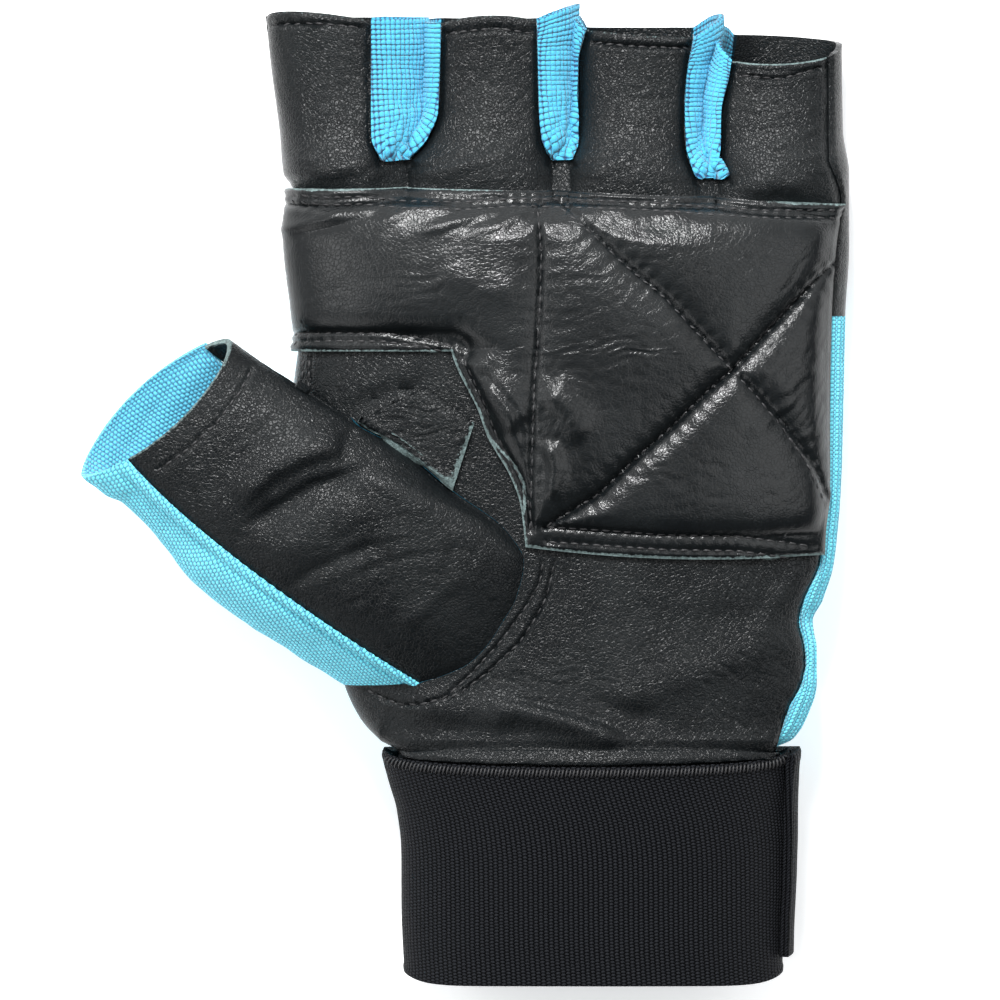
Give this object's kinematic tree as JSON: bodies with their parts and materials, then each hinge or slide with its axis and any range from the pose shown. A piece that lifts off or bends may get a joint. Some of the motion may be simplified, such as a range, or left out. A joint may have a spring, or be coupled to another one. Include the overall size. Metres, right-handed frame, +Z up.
{
  "type": "weightlifting glove",
  "caption": "Left-hand half-finger weightlifting glove, palm up: black leather palm with a quilted pad, blue stretch gussets and thumb back, wide elastic wrist wrap.",
  "frame": {"origin": "centre of the bounding box at floor level", "axes": "+Z up through the palm, +Y towards the fingertips, +X towards the little finger"},
  "size_m": [0.153, 0.1948, 0.0349],
  "materials": {
    "black_leather": "grained, semi-gloss",
    "blue_fabric": "ribbed knit, matt",
    "black_elastic": "woven, matt"
  },
  "bodies": {
    "root": {"palm_leather": "black_leather", "palm_pad": "black_leather", "back_leather": "black_leather", "back_fabric": "blue_fabric", "fourchette_one": "blue_fabric", "fourchette_two": "blue_fabric", "fourchette_three": "blue_fabric", "side_strip": "black_leather", "thumb_leather": "black_leather", "thumb_fabric": "blue_fabric", "crotch_patch": "black_leather", "wrist_band": "black_elastic", "wrist_strap": "black_elastic", "strap_tab": "black_elastic"}
  },
  "joints": []
}
